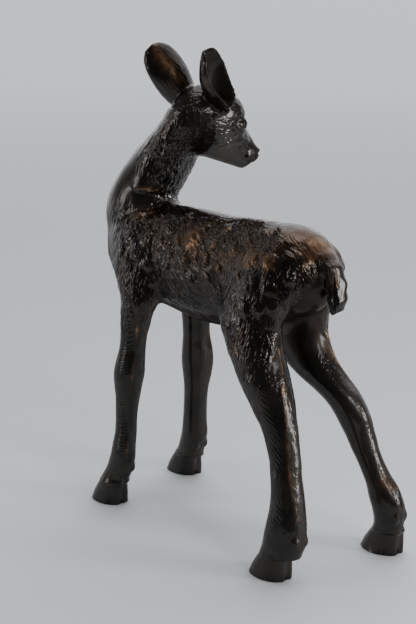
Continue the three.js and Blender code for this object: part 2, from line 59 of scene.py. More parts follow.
def table(rows):
    a = np.array(sorted(rows), float)
    x = a[:, 0]
    grid = np.linspace(x[0], x[-1], 400)
    k = np.clip(np.searchsorted(x, grid, side="right") - 1, 0, len(x) - 2)
    h = x[k + 1] - x[k]
    t = (grid - x[k]) / h
    cols, slopes = [], []
    for j in range(1, a.shape[1]):
        y = a[:, j]
        m = np.zeros_like(y)
        m[0] = (y[1] - y[0]) / (x[1] - x[0])
        m[-1] = (y[-1] - y[-2]) / (x[-1] - x[-2])
        for i in range(1, len(x) - 1):
            h0, h1 = x[i] - x[i - 1], x[i + 1] - x[i]
            m[i] = ((y[i] - y[i - 1]) / h0 * h1 + (y[i + 1] - y[i]) / h1 * h0) / (h0 + h1)
        c = ((2 * t**3 - 3 * t**2 + 1) * y[k] + (t**3 - 2 * t**2 + t) * h * m[k]
             + (-2 * t**3 + 3 * t**2) * y[k + 1] + (t**3 - t**2) * h * m[k + 1])
        cols.append(c)
        slopes.append(np.gradient(c, grid))
    return {"x": grid, "c": cols, "s": slopes, "lo": x[0], "hi": x[-1]}


def at(tab, x, j):
    return np.interp(x, tab["x"], tab["c"][j])


def slope(tab, x, j):
    return np.interp(x, tab["x"], tab["s"][j])


def leg(rows):
    out = []
    for z, cx, cy, w, k in rows:
        b = (w / 2) / math.sqrt(0.4476 * k * k + 0.552)
        out.append((z, cx, cy, k * b, b))
    return table(out)


TORSO = table([
    (-112, 312.5, 36, 32), (-88, 309.5, 48.5, 40), (-60, 306, 54.5, 43), (-25, 300.5, 59.5, 43), (15, 295.5, 63, 44),
    (55, 296.5, 63.7, 45), (95, 299, 61.3, 44), (130, 299, 56, 41), (155, 297, 48, 36)])
RUMP = ((-94, 0, 312), (50, 38, 47.5))
CHEST = ((157, 0, 296), (53, 36, 51.5))
LEGS = {
    "FL": leg([(350, 138, 20, 12, 1.6), (344, 138, 21, 34, 1.7), (333, 137, 24, 50, 1.8), (310, 134, 32, 58, 1.7), (285, 126, 39, 54, 1.5),
               (265, 119, 42, 48, 1.4), (251, 116, 44, 42.5, 1.3), (236, 119, 46, 37.5, 1.2), (221, 121.5, 47, 34, 1.15),
               (207, 122.5, 49, 31.5, 1.1), (192, 124, 50, 31.5, 1.05), (177, 125.5, 52, 34.8, 1.05), (163, 127, 53, 37, 1.05),
               (148, 128, 54, 34, 1.05), (133, 128, 55, 29.7, 1.1), (118, 129, 56, 27, 1.1), (103, 129, 57, 25.8, 1.1),
               (89, 129, 58, 26.4, 1.1), (74, 130, 60, 28.2, 1.15), (58, 132, 61, 30.7, 1.2), (41, 138, 62, 32, 1.25), (27, 144, 64, 35, 1.35)]),
    "FR": leg([(350, 134, -20, 12, 1.6), (344, 134, -21, 34, 1.7), (333, 133, -24, 50, 1.8), (310, 130, -32, 58, 1.7), (285, 122, -38, 54, 1.5),
               (265, 116, -40, 48, 1.4), (251, 114, -41, 42.5, 1.3), (236, 115, -42, 37.5, 1.2), (221, 117, -43, 34, 1.15),
               (206, 118, -44, 32.5, 1.1), (191, 119, -46, 33.5, 1.05), (175, 120, -48, 37.5, 1.05), (159, 122, -50, 39, 1.05),
               (142, 125, -52, 35.5, 1.05), (126, 127.5, -53, 31, 1.1), (109, 131, -55, 29.5, 1.1), (93, 133, -56, 29.5, 1.1),
               (76, 136, -58, 30.5, 1.15), (59, 139, -60, 32.7, 1.2), (41, 146, -62, 33, 1.25), (27, 152, -64, 35, 1.35)]),
    "HL": leg([(344, -90, 20, 12, 1.7), (337, -89, 22, 34, 1.7), (324, -86, 27, 54, 1.7), (300, -78, 34, 68, 1.65), (275, -70, 39, 68, 1.6),
               (255, -70, 43, 64, 1.55), (238, -77, 45, 60, 1.5), (227, -83, 47, 59, 1.45), (215, -90, 48, 57.5, 1.4),
               (204, -97, 50, 56.5, 1.35), (192, -104, 51, 53.5, 1.35), (181, -111, 52, 49.4, 1.35), (170, -118, 54, 44.4, 1.35),
               (159, -125, 55, 39.8, 1.35), (147, -130, 56, 36.6, 1.35), (136, -134, 57, 34.8, 1.3), (124, -138, 58, 33.6, 1.25),
               (112, -141, 60, 33.3, 1.2), (99, -144, 61, 34.3, 1.2), (87, -146, 62, 36, 1.2), (74, -147, 63, 38.6, 1.2),
               (61, -147, 64, 42, 1.25), (48, -146, 65, 44, 1.3), (34, -144, 66, 44, 1.35), (27, -142, 67, 43, 1.35)]),
    "HR": leg([(344, -90, -20, 12, 1.7), (337, -89, -22, 34, 1.7), (324, -86, -27, 54, 1.7), (300, -76, -34, 68, 1.65), (275, -64, -37, 70, 1.65),
               (255, -58, -38, 66, 1.65), (238, -59, -39, 62, 1.6), (224, -64, -39, 61, 1.55), (210, -73, -40, 60, 1.5),
               (198, -84, -41, 59, 1.45), (187, -97, -43, 55, 1.4), (176, -111, -46, 49.5, 1.4), (165, -123, -48, 43, 1.35),
               (152, -132, -50, 38.5, 1.35), (140, -137, -52, 35.2, 1.3), (127, -143, -54, 32.4, 1.25), (114, -149, -55, 30.3, 1.2),
               (102, -155, -57, 29.4, 1.15), (89, -162, -59, 30.6, 1.15), (77, -169, -61, 34, 1.2), (64, -174, -62, 36.6, 1.25),
               (51, -177, -64, 36, 1.25), (36, -177, -65, 32, 1.25), (27, -176, -66, 33, 1.3)]),
}
FEET = {"FL": (151, 66), "FR": (165, -66), "HL": (-130, 69), "HR": (-166, -69)}
HOOF = ([-6, 0, 10, 20, 28, 34], [2, 1, -1.5, -5, -8, -9], [26.5, 26, 24, 20.5, 17, 11], [19.5, 19, 18, 16.5, 15, 10])
NECK = table([
    (296, 160, 0, 42, 33, 0), (318, 165, 1, 43, 35, 0), (342, 168, 2, 44, 37, -4 * RAD), (362, 165, 0, 44, 38, -10 * RAD),
    (380, 157.3, -4.8, 45, 40, -16 * RAD), (398, 147, -10, 44, 40, -24 * RAD), (416, 136, -14, 43, 37.5, -34 * RAD),
    (434, 121, -18, 41, 35, -48 * RAD), (452, 105, -20, 37, 31.5, -64 * RAD), (468, 95, -22, 31, 28, -80 * RAD)])
HEAD = np.array([86.0, -31.0, 462.0])


def unit(v):
    v = np.asarray(v, float)
    return v / np.linalg.norm(v)


def head_axes(yaw, pitch):
    f = np.array([math.cos(yaw) * math.cos(pitch), math.sin(yaw) * math.cos(pitch), math.sin(pitch)])
    r = np.array([math.sin(yaw), -math.cos(yaw), 0.0])
    return np.array([f, r, np.cross(r, f)])


AXES = head_axes(-100 * RAD, -16 * RAD)      # rows: forward, animal's right, up


def ear_frame(base, axis, hollow):
    B = HEAD + np.asarray(base, float) @ AXES
    A = unit(np.asarray(axis, float) @ AXES)
    N = np.asarray(hollow, float) @ AXES
    N = unit(N - (N @ A) * A)
    return B, np.array([A, np.cross(A, N), N])


EARS = {"A": ear_frame((-16.8, -23, 14.6), (-43.6, -13.9, 40.5), (.13, -.99, 0)) + (72.5, 22.4, 18.5, (1, 1, 1, 1, 1)),
        "B": ear_frame((-3.2, 31, 20), (-42.5, 15, 43), (.63, .65, 0)) + (64.5, 21.8, 19.0, (.72, .9, 1.1, 1.04, 1))}
TAIL = [((-118, 0, 334), 9, 6), ((-134, 0, 331), 12, 7), ((-145, 0, 321), 14, 7.5), ((-151, 0, 306), 15, 7.5),
        ((-153, 0, 292), 15, 7), ((-152, 0, 280), 13.5, 5.5)]


def smin(a, b, k):
    h = np.clip(.5 + .5 * (b - a) / k, 0, 1)
    return b * (1 - h) + a * h - k * h * (1 - h)


def smax(a, b, k):
    return -smin(-a, -b, k)


def oval(a, b, ra, rb):
    k0 = np.sqrt((a / ra) ** 2 + (b / rb) ** 2)
    k1 = np.sqrt((a / ra**2) ** 2 + (b / rb**2) ** 2)
    return k0 * (k0 - 1) / np.maximum(k1, 1e-9)


def egg(q, r):
    r = np.asarray(r, float)
    k0 = np.sqrt(((q / r) ** 2).sum(1))
    k1 = np.sqrt(((q / r**2) ** 2).sum(1))
    return k0 * (k0 - 1) / np.maximum(k1, 1e-9)


def rod(q, A, B, ra, rb, n=(0, 1, 0), k=1.0):
    A, B, n = np.asarray(A, float), np.asarray(B, float), np.asarray(n, float)
    d = B - A
    t = np.clip(((q - A) @ d) / (d @ d), 0, 1)
    w = q - A - t[:, None] * d
    w = w - ((w @ n) * (1 - 1 / k))[:, None] * n
    return (np.linalg.norm(w, axis=1) - (ra + (rb - ra) * t)) * min(1, k)


def column(p, T):
    z = np.clip(p[:, 2], T["lo"], T["hi"])
    dx, dy = p[:, 0] - at(T, z, 0), p[:, 1] - at(T, z, 1)
    if len(T["c"]) > 4:
        a = at(T, z, 4)
        c, s = np.cos(a), np.sin(a)
        dx, dy = c * dx + s * dy, -s * dx + c * dy
    d = oval(dx, dy, at(T, z, 2), at(T, z, 3))
    d = d / np.sqrt(1 + .8 * slope(T, z, 0) ** 2 + .8 * slope(T, z, 1) ** 2)
    dz = np.abs(p[:, 2] - z)
    return np.where(dz > 0, np.sqrt(np.maximum(d, 0) ** 2 + dz**2), d)


EYE = np.array([35.0, 17.6, -1.4])           # head frame, mirrored for the other side
EYE_OUT = unit((.34, .93, .06))
EYE_SLIT = unit(np.cross(EYE_OUT, (0, 0, 1.0)))
EYE_SLIT = unit(EYE_SLIT * np.sign(EYE_SLIT[0]) + np.array([0, 0, -.22]))
EYE_SLIT = unit(EYE_SLIT - (EYE_SLIT @ EYE_OUT) * EYE_OUT)
EYE_UP = np.cross(EYE_SLIT, EYE_OUT)
EYE_UP = EYE_UP * np.sign(EYE_UP[2])


def head(p):
    q = (p - HEAD) @ AXES.T
    d = egg(q, (39, 31, 34))
    s = q.copy()
    s[:, 1] = np.abs(s[:, 1])
    d = smin(d, egg(s - [21, 11, 8.5], (21, 18, 18.5)), 14)
    d = smin(d, egg(s - [14, 9, -16], (33, 16, 20)), 12)
    d = smin(d, rod(q, (20, 0, -8), (69, 0, -29), 24, 12.5, (0, 1, 0), .84), 12)
    d = smin(d, rod(q, (26, 0, 2), (60, 0, -20), 15, 10, (0, 1, 0), .85), 8)
    d = smin(d, rod(q, (6, 0, -32), (63, 0, -41), 14, 7.5, (0, 1, 0), 1.05), 8)
    d = smin(d, egg(q - [71, 0, -28.5], (11.5, 11, 9.5)), 6)
    # mouth: a groove from under the nose back towards the cheek
    m = np.minimum(rod(s, (80, 0, -38.5), (66, 10, -37), 1.5, 1.5), rod(s, (66, 10, -37), (47, 15, -34.5), 1.5, 1.1))
    m = np.minimum(m, rod(s, (47, 15, -34.5), (34, 18, -30), 1.1, .5))
    d = smax(d, -m, 1.6)
    # lip pad and nostril wing
    d = smin(d, rod(s, (73, 5, -33.5), (64, 8.6, -32), 4.2, 4.0), 2.5)
    d = smax(d, -rod(s, (83, 4.2, -27.5), (76, 8.6, -24.5), 1.4, 2.3), 1.5)
    d = smin(d, rod(s, (72.5, 8.8, -22.5), (80, 5.5, -22.5), 2.0, 1.6), 2.0)
    # eye socket, ball, lids
    e = s - EYE
    o, t, u = e @ EYE_OUT, e @ EYE_SLIT, e @ EYE_UP
    d = smax(d, -(np.sqrt(((o - 9.5) / 1.0) ** 2 + (t / 1.35) ** 2 + (u / 1.1) ** 2) - 8.2), 4.0)
    r = np.linalg.norm(e, axis=1)
    slit = np.sqrt((t / 8.2) ** 2 + ((u + .2) / np.where(u > 0, 5.9, 5.2)) ** 2) - 1
    slit = np.minimum(slit, np.sqrt(((t - 8.9) / 3.2) ** 2 + ((u + 1.6) / 1.5) ** 2) - 1)
    lid = smax(np.sqrt(o**2 + (t / 1.08) ** 2 + u**2) - 10.8, np.where(o > 0, -slit * 5.4, -9.0), .8)
    d = smin(d, lid, 1.6)
    d = np.minimum(d, r - 8.5)
    # ridges over the eye and from the ear's root to the brow, and the cheekbone
    d = smin(d, rod(s, (22, 28.5, 6.5), (35, 22.5, 12.0), 1.8, 1.7), 3.0)
    d = smin(d, np.minimum(rod(s, (-5.6, 30.0, 2.2), (7, 29.4, 10), 1.5, 1.8), rod(s, (7, 29.4, 10), (21, 25.4, 18.2), 1.8, 1.4)), 3.5)
    d = smin(d, np.minimum(rod(s, (24, 20.6, -25), (42, 17.0, -19.8), 1.6, 2.0), rod(s, (42, 17.0, -19.8), (55, 12.6, -15.8), 2.0, 1.3)), 5.0)
    return d


ET = [0, .1, .25, .4, .55, .7, .82, .9, .96, 1]
EWF = [.66, .8, .93, 1, 1, .95, .83, .65, .44, .12]


def ear(p, fr):
    B, M, length, half, deep, front = fr
    q = (p - B) @ M.T
    a, s, n = q[:, 0], q[:, 1], q[:, 2]
    t = np.clip(a / length, 0, 1)
    w = half * np.interp(t, ET, EWF) * np.where(s > 0, np.interp(t, (0, .25, .5, .75, 1), front), 1)
    w *= 1 - .5 * np.clip(-a / 13, 0, 1) ** 1.3                            # the root narrows into the head
    cup = deep * np.interp(t, [0, .25, .5, .8, 1], [1.15, 1.1, .9, .55, .3]) * (1 - .45 * np.clip(-a / 13, 0, 1))
    sn = np.clip(s / np.maximum(w, 1), -1.25, 1.25)
    n0 = cup * sn**2 - cup * .62 - 4 * np.sin(t * 3.14)
    g = np.sqrt(1 + (2 * cup * sn / np.maximum(w, 4)) ** 2)
    th = 1.7 + 1.4 * (1 - t) + .5 * np.clip(np.abs(sn) * 3 - 2.1, 0, 1)     # a rolled rim
    dn = np.abs(n - n0) / g - th
    de = (np.abs(s) - w) / g * .9
    da = np.maximum(-a - 13, a - length)
    return smax(smax(dn, de, 2.2), da, 3)


def hoof(p, key):
    cx, cy = FEET[key]
    x, y, z = p[:, 0] - cx, p[:, 1] - cy, p[:, 2]
    zc = np.clip(z, -6, 34)
    sh, a, b = (np.interp(zc, HOOF[0], HOOF[i]) for i in (1, 2, 3))
    d = oval(x - sh, y, a, b)
    dz = np.abs(z - zc)
    return np.where(dz > 0, np.sqrt(np.maximum(d, 0) ** 2 + dz**2), d)


def hoof_cuts(p, key, d):
    """cloven toes, the coronet groove and the heel notch"""
    cx, cy = FEET[key]
    x, y, z = p[:, 0] - cx, p[:, 1] - cy, p[:, 2]
    w = 1.3 + np.clip(x, 0, 26) * .07
    slot = np.maximum(np.maximum(np.abs(y) - w, 2 - x), z - 25)
    d = smax(d, -slot, 2.2)
    heel = np.sqrt((np.abs(y)) ** 2 + (np.maximum(x + 27.5, -30)) ** 2) - np.interp(z, [0, 8, 20, 27], [5.2, 5.0, 4.2, 0.5])
    d = smax(d, -heel, 3.0)
    ring = np.sqrt((z - (29.0 - x * .10)) ** 2 + np.minimum(d - .6, 0) ** 2 * 4) - 1.6
    return smax(d, -ring, 2.4)


TAIL_FACES = [(unit((-.957, .168, .210)), (-151, 0, 306), 5.6), (unit((-.72, .68, .10)), (-151, 0, 306), 7.2), (unit((-.42, -.12, -.90)), (-153, 0, 284), 6.0)]


def tail(p):
    d = None
    for (A, wa, ta), (B, wb, tb) in zip(TAIL[:-1], TAIL[1:]):
        e = rod(p, A, B, ta, tb, (0, 1, 0), 1.7)
        d = e if d is None else smin(d, e, 3)
    for n, c, h in TAIL_FACES:          # flat faces meeting in a keel, and the slanting cut of the tip
        d = smax(d, (p - np.asarray(c, float)) @ n - h, .9)
    return d


def torso(p):
    x = np.clip(p[:, 0], TORSO["lo"], TORSO["hi"])
    zc, hh, hw = (at(TORSO, x, i) for i in (0, 1, 2))
    d = oval(p[:, 1], p[:, 2] - zc, hw, hh)
    dx = np.abs(p[:, 0] - x)
    d = np.where(dx > 0, np.sqrt(np.maximum(d, 0) ** 2 + dx**2), d)
    d = smin(d, egg(p - np.array(RUMP[0], float), RUMP[1]), 10)
    return smin(d, egg(p - np.array(CHEST[0], float), CHEST[1]), 10)


DEW = {"FL": (123, 61.5), "FR": (130, -61.5), "HL": (-167, 65), "HR": (-192, -64)}
# crest between the outer and the rear face of each leg, a flat behind it
CRESTS = {"HL": [(-113, 45, 238), (-120, 48, 223), (-132, 57, 196), (-142, 62, 167), (-149, 66, 137), (-158, 70, 103), (-167, 70, 72)],
          "HR": [(-96, -44, 238), (-104, -46, 219), (-121, -53, 190), (-140, -58, 165), (-156, -62, 137), (-170, -66, 106), (-190, -67, 74)],
          "FL": [(108, 54, 240), (107, 58, 205), (110, 62, 170), (113, 64, 130), (114, 66, 95), (117, 67, 62)],
          "FR": [(101, -48, 240), (102, -52, 205), (104, -57, 170), (110, -61, 130), (114, -63, 95), (121, -65, 62)]}


def add(d, p, m, fn, k):
    i = np.nonzero(m)[0]
    if len(i):
        d[i] = smin(d[i], fn(p[i]), k)


def field(p):
    x, y, z = p[:, 0], p[:, 1], p[:, 2]
    d = np.full(len(p), 60.0)
    add(d, p, z > 190, torso, 1)
    add(d, p, (z > 240) & (x > 30), lambda q: column(q, NECK), 16)
    for k in LEGS:
        side = (y > -20) if k[1] == "L" else (y < 20)
        m = side & (z < 384) & ((x > 60) if k[0] == "F" else (x < 30))
        i = np.nonzero(m)[0]
        if len(i):
            q = p[i]
            e = column(q, LEGS[k])
            j = np.nonzero(q[:, 2] < 60)[0]
            if len(j):
                h = smin(e[j], hoof(q[j], k), 6)
                b = q[j] - np.array([DEW[k][0], DEW[k][1], 46.0])
                b[:, 1] = np.abs(b[:, 1]) - 7
                h = smin(h, egg(b, (4.5, 3.6, 6.0)), 3)
                e[j] = hoof_cuts(q[j], k, h)
            d[i] = smin(d[i], e, 14 if k[0] == "F" else 16)
    add(d, p, (x < -90) & (z > 250) & (np.abs(y) < 50), tail, 5)
    m = (x < -100) & (z > 255) & (np.abs(y) < 40)
    i = np.nonzero(m)[0]
    if len(i):          # grooves between the tail and the buttocks
        q = p[i].copy()
        q[:, 1] = np.abs(q[:, 1])
        g = np.minimum(rod(q, (-132, 16.5, 341), (-146, 20.5, 322), 1.2, 3.4), rod(q, (-146, 20.5, 322), (-141, 19.5, 290), 3.4, 5.0))
        d[i] = smax(d[i], -g, 3.0)
    add(d, p, (z > 385) & (x > 0), head, 14)
    add(d, p, (z > 430) & (x > -20), lambda q: ear(q, EARS["A"]), 5)
    add(d, p, (z > 430) & (x > -20), lambda q: ear(q, EARS["B"]), 5)
    return d


def batches(p, n=150000):
    out = np.empty(len(p))
    for i in range(0, len(p), n):
        out[i:i + n] = field(p[i:i + n])
    return out


def gradient(p, e=.4):
    g = np.empty_like(p)
    for a in range(3):
        s = np.zeros(3)
        s[a] = e
        g[:, a] = (batches(p + s) - batches(p - s)) / (2 * e)
    return g


def lines(lo, hi, f0, f1, body, fine):
    return np.concatenate([np.arange(lo, f0, body), np.arange(f0, f1, fine), np.arange(f1, hi, body)])


STEP, FINE = ((1.75, 1.2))
xs = lines(-216, 226, 15, 171, STEP, FINE)
ys = lines(-106, 106, -68, 34, STEP, FINE)
zs = lines(-16, 566, 419, 560, STEP, FINE)


def skin():
    """zero surface on a rectilinear grid, sampled only near it: one point per crossed cell"""
    B = 4
    n = [len(a) // B * B + 1 for a in (xs, ys, zs)]
    X, Y, Z = (a[:m] if len(a) >= m else np.concatenate([a, a[-1] + (a[-1] - a[-2]) * np.arange(1, m - len(a) + 1)])
               for a, m in zip((xs, ys, zs), n))
    cx, cy, cz = X[::B], Y[::B], Z[::B]
    G = np.stack(np.meshgrid(cx, cy, cz, indexing="ij"), -1).reshape(-1, 3)
    C = batches(G).reshape(len(cx), len(cy), len(cz))
    near = np.abs(C) < 15 * (STEP / 1.75)
    act = np.zeros((len(cx) - 1, len(cy) - 1, len(cz) - 1), bool)
    neg, pos = np.zeros_like(act), np.zeros_like(act)
    for i in (0, 1):
        for j in (0, 1):
            for k in (0, 1):
                s = (slice(i, i + act.shape[0]), slice(j, j + act.shape[1]), slice(k, k + act.shape[2]))
                act |= near[s]
                neg |= C[s] < 0
                pos |= C[s] >= 0
    act |= neg & pos
    F = np.repeat(np.repeat(np.repeat(C, B, 0), B, 1), B, 2)[:len(X), :len(Y), :len(Z)].astype(np.float32)
    M = np.zeros(F.shape, bool)
    big = np.repeat(np.repeat(np.repeat(act, B, 0), B, 1), B, 2)
    for i in (0, 1):
        for j in (0, 1):
            for k in (0, 1):
                M[i:i + big.shape[0], j:j + big.shape[1], k:k + big.shape[2]] |= big
    I, J, K = np.nonzero(M)
    F[I, J, K] = batches(np.stack([X[I], Y[J], Z[K]], 1))
    S = F < 0
    tot = np.zeros(tuple(m - 1 for m in F.shape), np.int8)
    for i in (0, 1):
        for j in (0, 1):
            for k in (0, 1):
                tot += S[i:i + tot.shape[0], j:j + tot.shape[1], k:k + tot.shape[2]]
    I, J, K = np.nonzero((tot > 0) & (tot < 8))
    idx = -np.ones(tot.shape, np.int32)
    idx[I, J, K] = np.arange(len(I))
    acc, cnt = np.zeros((len(I), 3)), np.zeros(len(I))
    for a in [(i, j, k) for i in (0, 1) for j in (0, 1) for k in (0, 1)]:
        for ax in range(3):
            if a[ax]:
                continue
            b = list(a)
            b[ax] = 1
            fa = F[I + a[0], J + a[1], K + a[2]].astype(float)
            fb = F[I + b[0], J + b[1], K + b[2]].astype(float)
            m = (fa < 0) != (fb < 0)
            t = np.where(m, fa / np.where(m, fa - fb, 1), 0)
            pa = np.stack([X[I + a[0]], Y[J + a[1]], Z[K + a[2]]], 1)
            pb = np.stack([X[I + b[0]], Y[J + b[1]], Z[K + b[2]]], 1)
            acc += np.where(m[:, None], pa + (pb - pa) * t[:, None], 0)
            cnt += m
    V = acc / cnt[:, None]
    quads = []
    for ax in range(3):
        lo, hi = [slice(None)] * 3, [slice(None)] * 3
        lo[ax], hi[ax] = slice(0, -1), slice(1, None)
        A, Bq = S[tuple(lo)], S[tuple(hi)]
        E = A != Bq
        o = [a for a in range(3) if a != ax]
        inner = [slice(None)] * 3
        inner[o[0]], inner[o[1]] = slice(1, -1), slice(1, -1)
        keep = np.zeros_like(E)
        keep[tuple(inner)] = True
        P = np.stack(np.nonzero(E & keep), 1)
        ins = A[P[:, 0], P[:, 1], P[:, 2]]

        def cell(d0, d1):
            q = P.copy()
            q[:, o[0]] -= d0
            q[:, o[1]] -= d1
            return idx[q[:, 0], q[:, 1], q[:, 2]]
        q = np.stack([cell(1, 1), cell(0, 1), cell(0, 0), cell(1, 0)], 1)
        flip = ins if ax != 1 else ~ins
        quads.append(np.where(flip[:, None], q, q[:, ::-1]))
    return V, np.concatenate(quads)


V, Q = skin()
for _ in range(2):
    f, g = batches(V), gradient(V)
    V = V - np.clip(f / np.maximum((g**2).sum(1), .25), -1.5, 1.5)[:, None] * g
g = gradient(V, .8)
N = g / np.maximum(np.linalg.norm(g, axis=1), 1e-9)[:, None]
print("skin", len(V), "points", len(Q), "quads")


# ---------------------------------------------------------------- fur direction and masks
def blob(c, r):
    """soft round mask about a point"""
    return np.exp(-(((V - np.asarray(c, float)) / r) ** 2).sum(1))


def step(a, b, x):
    t = np.clip((x - a) / (b - a), 0, 1)
    return t * t * (3 - 2 * t)


x, y, z = V.T
parts, flows = [], []
d_body = torso(V)
parts.append(d_body)
flows.append(np.stack([-np.ones(len(V)), 0 * x, -.95 - .5 * step(300, 270, z) * step(-20, -60, x) + .55 * step(335, 355, z)], 1))
d_neck = column(V, NECK)
zc = np.clip(z, NECK["lo"], NECK["hi"])
parts.append(d_neck - 4 * step(350, 385, z))
flows.append(-np.stack([slope(NECK, zc, 0), slope(NECK, zc, 1), np.ones(len(V))], 1))
d_legs = None
for k, T in LEGS.items():
    e = column(V, T)
    zc = np.clip(z, T["lo"], T["hi"])
    parts.append(e)
    flows.append(-np.stack([slope(T, zc, 0) + (.35 if k[0] == "H" else .1) * step(200, 280, z), slope(T, zc, 1), np.ones(len(V))], 1))
    d_legs = e if d_legs is None else np.minimum(d_legs, e)
d_head = head(V)
parts.append(d_head)
flows.append(np.tile(-AXES[0] - .25 * AXES[2], (len(V), 1)))
d_ear = None
for k in "AB":
    e = ear(V, EARS[k])
    parts.append(e)
    flows.append(np.tile(EARS[k][1][0], (len(V), 1)))
    d_ear = e if d_ear is None else np.minimum(d_ear, e)
d_tail = tail(V)
parts.append(d_tail)
flows.append(np.tile([.05, 0, -1.0], (len(V), 1)))
W = np.exp(-np.clip(np.array(parts), 0, 60) / 3.5)
W /= W.sum(0)
FLOW = np.einsum("kn,knc->nc", W, np.array(flows))
FLOW -= (FLOW * N).sum(1)[:, None] * N
FLOW /= np.maximum(np.linalg.norm(FLOW, axis=1), 1e-6)[:, None]

hq = (V - HEAD) @ AXES.T
ay = np.abs(y)
is_head = W[6]
is_ear = W[7] + W[8]
is_leg = W[2] + W[3] + W[4] + W[5]

# where the modelled coat is: 1 coat, 0 smooth metal
fur = np.ones(len(V))
belly = step(-.35, -.70, N[:, 2]) * step(262, 250, z) * step(190, 215, z)
fur *= 1 - belly * step(-75, -55, x) * step(140, 120, x)
# rear of the thighs: the coat ends at a ridge from beside the tail down the back of each leg
rim_x = np.interp(z, [215, 240, 268, 293, 325], [-92, -102, -111, -126, -144])
rim_y = np.interp(z, [215, 240, 268, 293, 325], [46, 42, 38, 27, 13])
out = (ay - rim_y) * .75 + (x - rim_x) * .60
behind = step(1.5, -1.5, out) * step(205, 225, z) * step(335, 322, z) * step(-60, -75, x)
fur *= 1 - behind * (1 - step(.3, .6, W[9]))
inner = step(.3, .75, -N[:, 1] * np.sign(y)) * step(290, 270, z) * is_leg          # inner faces of the legs
fur *= 1 - .75 * inner
shank = is_leg * step(228, 190, z)                                                   # the lower legs are almost smooth
fur *= 1 - .72 * shank
fur *= 1 - step(34, 26, z)                                                          # hooves
muzzle = step(58, 70, hq[:, 0]) * is_head
fur *= 1 - muzzle
jaw = step(-26, -36, hq[:, 2]) * is_head
fur *= 1 - .7 * jaw
eyes = np.exp(-((np.linalg.norm(np.stack([hq[:, 0], np.abs(hq[:, 1]), hq[:, 2]], 1) - (EYE + 6 * EYE_OUT), axis=1) / 12) ** 4))
fur *= 1 - eyes
hollow = np.zeros(len(V))
for k in "AB":
    B, M = EARS[k][:2]
    q = (V - B) @ M.T
    hollow = np.maximum(hollow, step(.0, .35, N @ M[2]) * step(4, 9, q[:, 0]) * (ear(V, EARS[k]) < 1.2))
fur *= 1 - hollow
throat = blob((150, 40, 388), (26, 22, 30))                                          # smooth hollow beside the throat
fur *= 1 - .85 * np.clip(throat * 1.3, 0, 1)
fur *= 1 - .8 * blob((-126, 0, 342), (26, 30, 20))                                   # worn croup
fur *= 1 - .75 * step(.72, .95, N[:, 2]) * np.clip(W[0], 0, 1) * step(320, 345, z)   # worn smooth along the back
fur *= 1 - .7 * np.clip(W[1] * step(-.1, .5, N[:, 0]), 0, 1)
fur *= 1 - .55 * W[1] * step(.35, .8, N[:, 1]) * step(430, 400, z)  # left of the neck, low down
fur = np.clip(fur, 0, 1)

# ---------------------------------------------------------------- relief
SPOTS = [
    (33, 36, 332, 14.4), (135, 30, 355, 15.4), (57, 21, 353, 10.6), (76, 33, 341, 10.6), (103, 42, 325, 11.5),
    (130, 46, 326, 8.7), (108, 50, 308, 11.5), (82, 41, 322, 9.6), (39, 44, 310, 13.5), (62, 43, 314, 9.6),
    (21, 25, 348, 7.7), (-11, 25, 348, 8.7), (-1, 35, 333, 9.6), (5, 42, 315, 9.6), (-68, 44, 328, 15.4),
    (-35, 37, 331, 9.6), (-66, 20, 353, 13.5), (-93, 16, 356, 15.4), (-123, 28, 332, 15.4), (-120, 40, 318, 11.5),
    (-98, 44, 329, 11.5), (-82, 57, 306, 13.5), (-59, 52, 310, 9.6), (-106, 52, 305, 11.5), (-57, 60, 291, 9.6),
    (-81, 63, 281, 11.5), (1, 44, 297, 11.5), (28, 44, 289, 9.6), (70, 45, 298, 11.5), (98, 48, 298, 11.5),
    (120, 57, 295, 9.6), (90, 45, 279, 9.6), (-96, 59, 283, 9.6), (-109, 50, 284, 9.6), (161, 39, 345, 8.7),
    (134, 54, 309, 8.7), (-17, 42, 311, 8.7), (-27, 44, 298, 8.7), (-98, 32, 343, 9.6), (20, 41, 320, 7.7),
    (54, 38, 330, 8.7),
]
tree = kdtree.KDTree(len(V))
for i, c in enumerate(V):
    tree.insert(c, i)
tree.balance()
ACROSS = np.cross(N, FLOW)
rng = np.random.RandomState(11)

relief = np.zeros(len(V))
rims = np.zeros(len(V))
for n_, (sx, sy, sz, r) in enumerate(SPOTS):
    for side in (1, -1):
        c = np.array([sx + (0 if side > 0 else rng.uniform(-5, 5)), side * sy, sz + (0 if side > 0 else rng.uniform(-4, 4))])
        hit = tree.find(c)
        o = V[hit[1]]
        i = np.array([h[1] for h in tree.find_range(o, r * 1.25)])
        w = V[i] - o
        a, b = w @ FLOW[hit[1]], w @ ACROSS[hit[1]]
        rho = np.sqrt(a * a + (b * 1.1) ** 2) / r
        h = step(1.12, .30, rho) * (.70 + .30 * np.clip(a / r, -1, 1)) * (1.6 + .13 * r)
        relief[i] = np.maximum(relief[i], h)
        rims[i] = np.maximum(rims[i], np.exp(-((rho - .72) / .22) ** 2) * step(-.2, .7, a / r))
relief *= fur


